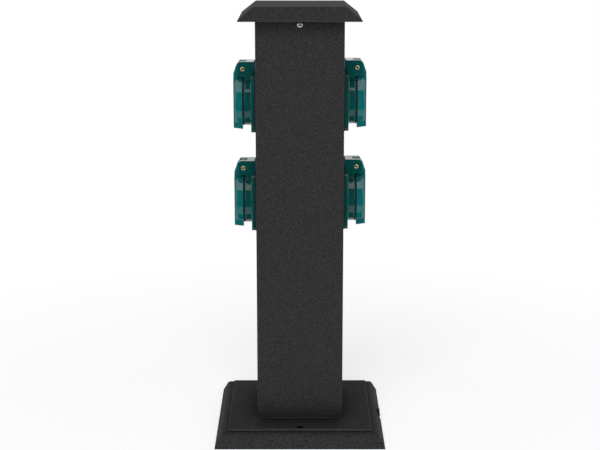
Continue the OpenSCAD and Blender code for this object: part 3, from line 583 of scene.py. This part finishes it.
def runTree(piece, tree, ids, values):
    modifier = piece.modifiers.new(tree.name, "NODES")
    modifier.node_group = tree
    for label, value in values.items():
        modifier[ids[label]] = value
    return settle(piece)


def standFor(piece, replaced):
    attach(piece, "post")
    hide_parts(replaced)


# a tube along a path: wires and springs

def makeTubeTree():
    tree, gin, gout, ids = geometryTree("tubeAlongPath", [
        ("Radius", floatKind, 1 * mm), ("Sides", "NodeSocketInt", 16), ("Step", floatKind, 1 * mm),
        ("Material", "NodeSocketMaterial", None)])
    path = node(tree, "GeometryNodeMeshToCurve", {"Mesh": gin.outputs["Geometry"]})
    smooth = node(tree, "GeometryNodeCurveSplineType", {"Curve": path.outputs["Curve"]},
                  spline_type="CATMULL_ROM")
    fine = node(tree, "GeometryNodeSetSplineResolution", {"Geometry": smooth.outputs[0], "Resolution": 12})
    even = node(tree, "GeometryNodeResampleCurve",
                {"Curve": fine.outputs[0], "Length": gin.outputs["Step"]}, mode="LENGTH")
    ring = node(tree, "GeometryNodeCurvePrimitiveCircle",
                {"Resolution": gin.outputs["Sides"], "Radius": gin.outputs["Radius"]})
    skin = node(tree, "GeometryNodeCurveToMesh",
                {"Curve": even.outputs[0], "Profile Curve": ring.outputs["Curve"], "Fill Caps": True})
    real = node(tree, "GeometryNodeRealizeInstances", {"Geometry": skin.outputs["Mesh"]})
    paint = node(tree, "GeometryNodeSetMaterial",
                 {"Geometry": real.outputs[0], "Material": gin.outputs["Material"]})
    tree.links.new(paint.outputs[0], gout.inputs["Geometry"])
    return tree, ids


tubeTree, tubeIds = makeTubeTree()


def tubeAlong(name, points, radius, sides, step, material):
    mesh = bpy.data.meshes.new(name)
    mesh.from_pydata([tuple(p) for p in points], [(i, i + 1) for i in range(len(points) - 1)], [])
    piece = link(bpy.data.objects.new(name, mesh))
    return runTree(piece, tubeTree, tubeIds,
                   {"Radius": radius, "Sides": sides, "Step": step, "Material": material})


def joined(name, pieces):
    bm = bmesh.new()
    materials = []
    for piece in pieces:
        offset = len(bm.faces)
        bm.from_mesh(piece.data)
        bm.faces.ensure_lookup_table()
        for face in bm.faces[offset:]:
            finish = piece.data.materials[face.material_index]
            if finish not in materials:
                materials.append(finish)
            face.material_index = materials.index(finish)
        bpy.data.objects.remove(piece)
    whole = meshPiece(name, bm)
    for finish in materials:
        whole.data.materials.append(finish)
    return whole


# lid springs: close-wound round each hinge pin, with one leg in the lid and one in the block

springSettings = dict(wire=0.4 * mm, radius=2.9 * mm, turns=3.25, pitch=1.25 * mm, legDown=7.7 * mm,
                      legIn=7.6 * mm, stepsPerTurn=24, sides=14, step=0.3 * mm)


def springPath(name, s):
    side = outward(name)
    centre = boxMiddle(f"{name}_hinge_pin")
    half = s["turns"] * s["pitch"] / 2
    points = [(s["radius"], -half, -s["legDown"] * k) for k in (1, 0.6, 0.3)]
    points.append((s["radius"], -half, -2 * s["wire"]))
    for i in range(int(s["turns"] * s["stepsPerTurn"]) + 1):
        turn = i / s["stepsPerTurn"]
        angle = 2 * math.pi * turn
        points.append((s["radius"] * math.cos(angle), -half + turn * s["pitch"],
                       s["radius"] * math.sin(angle)))
    points.append((-2 * s["wire"], half, s["radius"]))
    points += [(-s["legIn"] * k, half, s["radius"]) for k in (0.6, 1)]
    # a socket on the left is turned by half a turn, not mirrored
    return [centre + Vector((side * x, side * y, z)) for x, y, z in points]


def windSprings(s):
    for name in socketNames:
        spring = tubeAlong(f"{name}_springWire", springPath(name, s), s["wire"], s["sides"], s["step"],
                           finishes["spring_steel"])
        standFor(roundOff(spring), f"{name}_lid_spring")


windSprings(springSettings)
print("lid springs wound")


# wires inside the column, with a bare copper core at each clamp
# polePitch is how far the live and the neutral lie from the earth in the middle

polePitch = 9.5 * mm
wireSettings = dict(radius=1.4 * mm, sides=18, step=1.5 * mm, core=0.75 * mm, coreSides=12, coreFrom=0.3 * mm,
                    bare=4.5 * mm, clampHalf=3.2 * mm, blockX=5 * mm, inBlock=10 * mm, straight=4 * mm,
                    drift=1 * mm, leaveBlock=0.2, nearSocket=0.8, inClamp=1 * mm, inset=4 * mm, bow=0.35)


def wirePaths(s):
    # one path from the block to each lower socket and one from there to the upper socket, as (x, z)
    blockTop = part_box("terminal_block")[1].z
    half, straight, inClamp = s["clampHalf"], s["straight"], s["inClamp"]
    clampMid = {}
    for name in socketNames:
        low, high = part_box(f"{name}_pin_contacts")
        back = low.x if outward(name) > 0 else high.x
        clampMid[name] = (back + outward(name) * half, (low.z + high.z) / 2)
    paths = []
    for side, lower, upper in ((1, "lower_right", "upper_right"), (-1, "lower_left", "upper_left")):
        x, lowZ = clampMid[lower]
        highZ = clampMid[upper][1]
        x = abs(x)
        rise = lowZ - blockTop
        pitch = highZ - lowZ
        supply = ((s["blockX"], blockTop - s["inBlock"]), (s["blockX"], blockTop + straight),
                  (s["blockX"] + s["drift"], blockTop + s["leaveBlock"] * rise),
                  ((s["blockX"] + x) / 2, blockTop + rise / 2),
                  (x - s["drift"], blockTop + s["nearSocket"] * rise),
                  (x, lowZ - half - straight), (x, lowZ - inClamp))
        onward = ((x, lowZ + inClamp), (x, lowZ + half + straight),
                  (x - s["inset"], lowZ + s["bow"] * pitch), (x - s["inset"], highZ - s["bow"] * pitch),
                  (x, highZ - half - straight), (x, highZ - inClamp))
        for path in (supply, onward):
            paths.append([(side * px, pz) for px, pz in path])
    return paths


def trimmed(points, cut):
    # the same path with both ends drawn back, where it runs straight
    first = (points[1] - points[0]).normalized()
    last = (points[-2] - points[-1]).normalized()
    return [points[0] + first * cut] + points[1:-1] + [points[-1] + last * cut]


def runWires(replaced, y, slot, s):
    parts = []
    for i, path in enumerate(wirePaths(s)):
        points = [Vector((px, y, pz)) for px, pz in path]
        parts.append(tubeAlong(f"sleeve{i}", trimmed(points, s["bare"]), s["radius"], s["sides"], s["step"],
                               finishes[slot]))
        for j, (a, b) in enumerate(((0, 1), (-1, -2))):
            along = (points[b] - points[a]).normalized()
            end = points[a] + along * s["coreFrom"]
            core = [end, end + along * s["bare"] * 0.5, end + along * s["bare"]]
            parts.append(tubeAlong(f"core{i}{j}", core, s["core"], s["coreSides"], s["step"], copper))
    standFor(roundOff(joined(f"{replaced}_sleeved", parts)), replaced)


runWires("live_wires", polePitch, "brown_insulation", wireSettings)
runWires("neutral_wires", -polePitch, "blue_insulation", wireSettings)
runWires("earth_wires", 0.0, "green_insulation", wireSettings)
print("wires run")


# screws: one of each kind is turned, threaded and given its drive, then set out by a geometry tree
# z 0 is where the head bears; the head stands above it and the shank hangs below
# plain is the length of shank above the thread, mostTurn the most that a screw is turned at random

screwShape = dict(around=36, domeDrop=0.8, domeRim=0.1, domeFoot=0.98, flatRing=0.5, countersunkEdge=0.1 * mm,
                  cheeseEdge=0.15 * mm, threadDepth=0.16, stepsPerThread=6, leastSteps=6,
                  neck=0.001 * mm, lastTurn=0.95, tipRounding=0.75, tipShoulder=0.35 * mm, tipLength=0.6 * mm,
                  driveTop=0.5 * mm, driveWide=1.15, crossNarrow=0.45, slotNarrow=1.0, sharp=40, mostTurn=1.5)


def lathe(profile, around, threadFrom, pitch, depth):
    # profile runs from the head's middle to the tip as (radius, height); a thread winds on below threadFrom
    bm = bmesh.new()
    rings = []
    for r, z in profile:
        if r == 0:
            rings.append([bm.verts.new((0, 0, z))])
            continue
        ring = []
        for i in range(around):
            angle = 2 * math.pi * i / around
            radius = r
            if z < threadFrom:
                phase = (z / pitch + i / around) % 1.0
                radius = r - depth * abs(2 * phase - 1)
            ring.append(bm.verts.new((radius * math.cos(angle), radius * math.sin(angle), z)))
        rings.append(ring)
    for upper, lower in zip(rings, rings[1:]):
        for i in range(around):
            j = (i + 1) % around
            if len(upper) == 1:
                bm.faces.new((upper[0], lower[i], lower[j]))
            elif len(lower) == 1:
                bm.faces.new((upper[i], lower[0], upper[j]))
            else:
                bm.faces.new((upper[i], lower[i], lower[j], upper[j]))
    bmesh.ops.recalc_face_normals(bm, faces=bm.faces)
    return bm


def headProfile(s):
    r, h = s["head"], s["headHeight"]
    if s["kind"] == "pan":
        angles = [math.radians(d) for d in range(10, 91, 10)]
        dome = [(r * math.sin(a), h - (1 - math.cos(a)) * h * s["domeDrop"]) for a in angles]
        return [(0, h)] + dome + [(r, h * s["domeRim"]), (r * s["domeFoot"], 0.0)]
    countersunk = s["kind"] == "flat"  # its cone lies below the surface; a cheese head has a straight side
    edge = s["countersunkEdge"] if countersunk else s["cheeseEdge"]
    face = [(0, h), (r * s["flatRing"], h), (r - edge, h), (r, h - edge)]
    return face if countersunk else face + [(r, 0.0)]


def shankProfile(s):
    r, length = s["shank"], s["length"]
    count = max(s["leastSteps"], int(length / (s["pitch"] / s["stepsPerThread"])))
    body = [(r, -length * i / count) for i in range(1, count)]
    tip = [(r * s["tipRounding"], -length - s["tipShoulder"]), (0, -length - s["tipLength"])]
    return [(r, -s["neck"])] + body + [(r * s["lastTurn"], -length)] + tip


def driveCutter(s):
    # a cross, narrowing as it goes down, or a straight slot
    bm = bmesh.new()
    cross = s["drive"] == "cross"
    half = s["driveWidth"] / 2
    floor = s["headHeight"] - s["driveDepth"]
    narrow = s["crossNarrow"] if cross else s["slotNarrow"]
    ends = ((s["headHeight"] + s["driveTop"], s["driveWide"]), (floor, narrow))
    for alongX in (False, True) if cross else (False,):
        corners = []
        for z, k in ends:
            long = s["driveReach"] * k
            lx, ly = (long, half) if alongX else (half, long)
            for sx, sy in ((-1, -1), (1, -1), (1, 1), (-1, 1)):
                corners.append(bm.verts.new((sx * lx, sy * ly, z)))
        t, b = corners[:4], corners[4:]
        bm.faces.new(t)
        bm.faces.new(b[::-1])
        for i in range(4):
            j = (i + 1) % 4
            bm.faces.new((t[i], b[i], b[j], t[j]))
    bmesh.ops.recalc_face_normals(bm, faces=bm.faces)
    return meshPiece("driveCutter", bm)


def turnScrew(name, s):
    screw = meshPiece(name, lathe(headProfile(s) + shankProfile(s), s["around"], -s["plain"], s["pitch"],
                                  s["shank"] * s["threadDepth"]))
    cutter = driveCutter(s)
    cut = screw.modifiers.new("drive", "BOOLEAN")
    cut.object = cutter
    cut.operation = "DIFFERENCE"
    cut.solver = "EXACT"
    cut.use_self = True
    settle(screw)
    bpy.data.objects.remove(cutter)
    return roundOff(screw, s["sharp"])


def makeRowTree():
    tree, gin, gout, ids = geometryTree("screwRow", [
        ("Screw", "NodeSocketObject", None), ("Most Turn", floatKind, 0.7), ("Seed", "NodeSocketInt", 3),
        ("Material", "NodeSocketMaterial", None)])
    axis = node(tree, "GeometryNodeInputNamedAttribute", {"Name": "axis"}, data_type="FLOAT_VECTOR")
    aim = node(tree, "FunctionNodeAlignRotationToVector", {"Vector": axis.outputs[0]}, axis="Z")
    spin = node(tree, "FunctionNodeRandomValue",
                {"Min": 0.0, "Max": gin.outputs["Most Turn"], "Seed": gin.outputs["Seed"]},
                data_type="FLOAT")
    spinAxis = node(tree, "FunctionNodeAxisAngleToRotation", {"Axis": (0, 0, 1)})
    for output in spin.outputs:
        if output.enabled:
            tree.links.new(output, spinAxis.inputs["Angle"])
    turn = node(tree, "FunctionNodeRotateRotation",
                {"Rotation": aim.outputs[0], "Rotate By": spinAxis.outputs[0]}, rotation_space="LOCAL")
    source = node(tree, "GeometryNodeObjectInfo", {"Object": gin.outputs["Screw"]})
    points = node(tree, "GeometryNodeMeshToPoints", {"Mesh": gin.outputs["Geometry"]})
    copies = node(tree, "GeometryNodeInstanceOnPoints",
                  {"Points": points.outputs[0], "Instance": source.outputs["Geometry"],
                   "Rotation": turn.outputs[0]})
    real = node(tree, "GeometryNodeRealizeInstances", {"Geometry": copies.outputs[0]})
    paint = node(tree, "GeometryNodeSetMaterial",
                 {"Geometry": real.outputs[0], "Material": gin.outputs["Material"]})
    tree.links.new(paint.outputs[0], gout.inputs["Geometry"])
    return tree, ids


rowTree, rowIds = makeRowTree()


def screwsAt(name, s, places, seed):
    # places: (point where the head bears, direction the head faces)
    mesh = bpy.data.meshes.new(name)
    mesh.from_pydata([tuple(p) for p, _ in places], [], [])
    axis = mesh.attributes.new("axis", "FLOAT_VECTOR", "POINT")
    axis.data.foreach_set("vector", [c for _, direction in places for c in direction])
    piece = link(bpy.data.objects.new(name, mesh))
    screw = turnScrew(f"{name}One", s)
    runTree(piece, rowTree, rowIds, {"Screw": screw, "Most Turn": s["mostTurn"], "Seed": seed,
                                     "Material": finishes["steel"]})
    bpy.data.objects.remove(screw)
    return roundOff(piece, s["sharp"])


def fourCorners(at, z, facing):
    return [((x, y, z), facing) for x in (-at, at) for y in (-at, at)]


capScrew = dict(screwShape, kind="pan", head=2.9 * mm, headHeight=2.1 * mm, shank=1.4 * mm, length=8.2 * mm,
                plain=1.0 * mm, pitch=1.1 * mm, drive="cross", driveReach=1.6 * mm, driveWidth=0.7 * mm,
                driveDepth=1.4 * mm, mostTurn=0.5, seat=40 * mm)
z = boxMiddle("cap_screws").z
places = [((0, side * capScrew["seat"], z), (0, side, 0)) for side in (-1, 1)]
standFor(screwsAt("capScrews", capScrew, places, 11), "cap_screws")

columnScrew = dict(screwShape, kind="pan", head=3.7 * mm, headHeight=2.6 * mm, shank=1.85 * mm,
                   length=21.2 * mm, plain=1.0 * mm, pitch=1.3 * mm, drive="cross", driveReach=2.1 * mm,
                   driveWidth=0.85 * mm, driveDepth=1.6 * mm)
low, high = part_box("column_screws")
places = fourCorners(high.x - columnScrew["head"], low.z + columnScrew["headHeight"], (0, 0, -1))
standFor(screwsAt("columnScrews", columnScrew, places, 5), "column_screws")

plateScrew = dict(screwShape, kind="flat", head=3.0 * mm, headHeight=0.0, shank=1.3 * mm, length=8.4 * mm,
                  plain=1.5 * mm, pitch=0.9 * mm, drive="cross", driveReach=1.7 * mm, driveWidth=0.65 * mm,
                  driveDepth=1.1 * mm)
low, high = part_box("bottom_plate_screws")
places = fourCorners(high.x - plateScrew["head"], low.z, (0, 0, -1))
standFor(screwsAt("plateScrews", plateScrew, places, 8), "bottom_plate_screws")

flangeScrew = dict(screwShape, kind="flat", head=3.0 * mm, headHeight=0.0, shank=1.4 * mm, length=8.9 * mm,
                   plain=1.7 * mm, pitch=1.0 * mm, drive="cross", driveReach=1.7 * mm, driveWidth=0.65 * mm,
                   driveDepth=1.2 * mm, out=19.8 * mm)
for i, name in enumerate(socketNames):
    side = outward(name)
    low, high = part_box(f"{name}_flange_screws")
    z = boxMiddle(f"{name}_flange_screws").z
    face = high.x if side > 0 else low.x
    out = flangeScrew["out"]
    places = [((face, dy, z + dz), (side, 0, 0)) for dy in (-out, out) for dz in (-out, out)]
    standFor(screwsAt(f"{name}_flangeScrews", flangeScrew, places, 20 + i), f"{name}_flange_screws")

clampScrew = dict(screwShape, kind="cheese", head=2.5 * mm, headHeight=2.0 * mm, shank=1.2 * mm,
                  length=3.0 * mm, plain=0.1 * mm, pitch=0.6 * mm, drive="slot", driveReach=2.7 * mm,
                  driveWidth=0.6 * mm, driveDepth=1.0 * mm)
for i, name in enumerate(socketNames):
    side = outward(name)
    low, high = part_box(f"{name}_terminal_screws")
    z = boxMiddle(f"{name}_terminal_screws").z
    seat = (low.x if side > 0 else high.x) + side * clampScrew["headHeight"]
    places = [((seat, y, z), (-side, 0, 0)) for y in (-polePitch, 0, polePitch)]
    standFor(screwsAt(f"{name}_clampScrews", clampScrew, places, 30 + i), f"{name}_terminal_screws")

blockScrewPlaces = dict(out=8 * mm, belowTop=8 * mm, aboveFoot=8 * mm)
blockClampScrew = dict(clampScrew, head=2.4 * mm, length=0.9 * mm, driveReach=2.6 * mm)
blockFixingScrew = dict(screwShape, kind="pan", head=2.5 * mm, headHeight=1.8 * mm, shank=1.2 * mm,
                        length=12.2 * mm, plain=1.0 * mm, pitch=1.0 * mm, drive="cross",
                        driveReach=1.5 * mm, driveWidth=0.6 * mm, driveDepth=1.1 * mm)
low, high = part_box("terminal_block")
z = high.z - blockScrewPlaces["belowTop"]
clamps = [((side * blockScrewPlaces["out"], y, z), (side, 0, 0))
          for side in (-1, 1) for y in (-polePitch, 0, polePitch)]
z = low.z + blockScrewPlaces["aboveFoot"]
fixings = [((0, y, z), (0, 0, 1)) for y in (-polePitch / 2, polePitch / 2)]
blockScrews = joined("blockScrews", [screwsAt("blockClamps", blockClampScrew, clamps, 41),
                                     screwsAt("blockFixings", blockFixingScrew, fixings, 42)])
standFor(roundOff(blockScrews, screwShape["sharp"]), "block_screws")
print("screws set")


# floor and light
# lift makes a light table of the floor: it lights the post from below, and only the contact shadow
# stays darker than white; from whiteFrom to whiteTo the floor runs into the white background

floorSettings = dict(radius=6.0, segments=96, drop=0.2 * mm, albedo=0.88, spread=0.02, cloudScale=40.0,
                     roughness=0.9, lift=0.62, whiteFrom=0.20, whiteTo=0.60, frontEdge=-0.33, frontBlur=0.02,
                     nearGlow=0.8, farGlow=0.03)


def makeFloor(s):
    bm = bmesh.new()
    bmesh.ops.create_circle(bm, cap_ends=True, cap_tris=False, segments=s["segments"], radius=s["radius"])
    floor = meshPiece("studioFloor", bm)
    floor.location.z = -s["drop"]
    material, tree, shader = newMaterial("studioFloor")
    coords = objectCoords(tree)
    darker, paler = ((v, v, v, 1) for v in (s["albedo"], s["albedo"] + s["spread"]))
    tree.links.new(mixColour(tree, noise(tree, coords, s["cloudScale"]), darker, paler),
                   shader.inputs["Base Color"])
    shader.inputs["Roughness"].default_value = s["roughness"]
    shader.inputs["Specular IOR Level"].default_value = 0.0
    seen = node(tree, "ShaderNodeLightPath")
    lift = node(tree, "ShaderNodeEmission", {"Strength": s["lift"]})
    lit = node(tree, "ShaderNodeAddShader", {0: shader.outputs[0], 1: lift.outputs[0]})
    length = node(tree, "ShaderNodeVectorMath", {0: coords}, operation="LENGTH").outputs["Value"]
    away = mathNode(tree, "MULTIPLY", seen.outputs["Is Camera Ray"],
                    stretchRange(tree, length, s["whiteFrom"], s["whiteTo"]))
    white = node(tree, "ShaderNodeEmission", {"Strength": 1.0})
    shown = node(tree, "ShaderNodeMixShader", {0: away, 1: lit.outputs[0], 2: white.outputs[0]})
    # in reflections the pale table ends a little in front of the post
    y = node(tree, "ShaderNodeSeparateXYZ", {0: coords}).outputs["Y"]
    glow = stretchRange(tree, y, s["frontEdge"] - s["frontBlur"], s["frontEdge"], s["farGlow"], s["nearGlow"])
    mirrored = node(tree, "ShaderNodeEmission", {"Strength": glow})
    mix = node(tree, "ShaderNodeMixShader", {0: seen.outputs["Is Glossy Ray"], 1: shown.outputs[0],
                                             2: mirrored.outputs[0]})
    out = next(n for n in tree.nodes if n.type == "OUTPUT_MATERIAL")
    tree.links.new(mix.outputs[0], out.inputs["Surface"])
    floor.data.materials.append(material)


worldSettings = dict(room=0.12, backdrop=1.0, overhead=1.9, front=0.03, frontFrom=0.35, frontTo=0.60,
                     overheadFrom=0.70, overheadTo=0.76, sideFrom=0.22, sideTo=0.34)


def makeWorld(s):
    # plain for diffuse light; in reflections a white backdrop and sides, an overhead softbox and, in front,
    # a dark room
    world = bpy.data.worlds.new("studio")
    world.use_nodes = True
    tree = world.node_tree
    tree.nodes.clear()
    seen = node(tree, "ShaderNodeLightPath")
    direction = node(tree, "ShaderNodeSeparateXYZ",
                     {0: node(tree, "ShaderNodeTexCoord").outputs["Generated"]})
    towardsFront = stretchRange(tree, mathNode(tree, "MULTIPLY", direction.outputs["Y"], -1.0),
                                s["frontFrom"], s["frontTo"], s["backdrop"], s["front"])
    sideways = stretchRange(tree, mathNode(tree, "ABSOLUTE", direction.outputs["X"]),
                            s["sideFrom"], s["sideTo"])
    around = stretchRange(tree, sideways, 0.0, 1.0, towardsFront, s["backdrop"])
    above = stretchRange(tree, direction.outputs["Z"], s["overheadFrom"], s["overheadTo"])
    reflected = stretchRange(tree, above, 0.0, 1.0, around, s["overhead"])
    level = stretchRange(tree, seen.outputs["Is Glossy Ray"], 0.0, 1.0, s["room"], reflected)
    direct = mathNode(tree, "MAXIMUM", seen.outputs["Is Camera Ray"], seen.outputs["Is Transmission Ray"])
    level = stretchRange(tree, direct, 0.0, 1.0, level, 1.0)
    background = node(tree, "ShaderNodeBackground", {"Color": (1, 1, 1, 1), "Strength": level})
    out = node(tree, "ShaderNodeOutputWorld")
    tree.links.new(background.outputs[0], out.inputs["Surface"])
    bpy.context.scene.world = world


lamps = [
    dict(name="highPanel", at=(-0.3, -1.8, 1.5), towards=(0, 0, 0.22), size=(1.6, 1.2), watts=17),
    dict(name="lowPanel", at=(0.3, -2.2, 0.40), towards=(0, 0, 0.22), size=(1.6, 0.8), watts=11),
    dict(name="backPanel", at=(0.3, 2.0, 0.8), towards=(0, 0, 0.2), size=(1.6, 1.2), watts=9),
]


def areaLight(s):
    data = bpy.data.lights.new(s["name"], "AREA")
    data.shape = "RECTANGLE"
    data.size, data.size_y = s["size"]
    data.energy = s["watts"]
    lamp = link(bpy.data.objects.new(s["name"], data))
    lamp.location = s["at"]
    aim = Vector(s["towards"]) - Vector(s["at"])
    lamp.rotation_euler = aim.to_track_quat("-Z", "Y").to_euler()
    lamp.visible_glossy = False


makeFloor(floorSettings)
makeWorld(worldSettings)
for s in lamps:
    areaLight(s)
bpy.context.scene.view_settings.view_transform = "Standard"
print("floor, world and lamps ready")
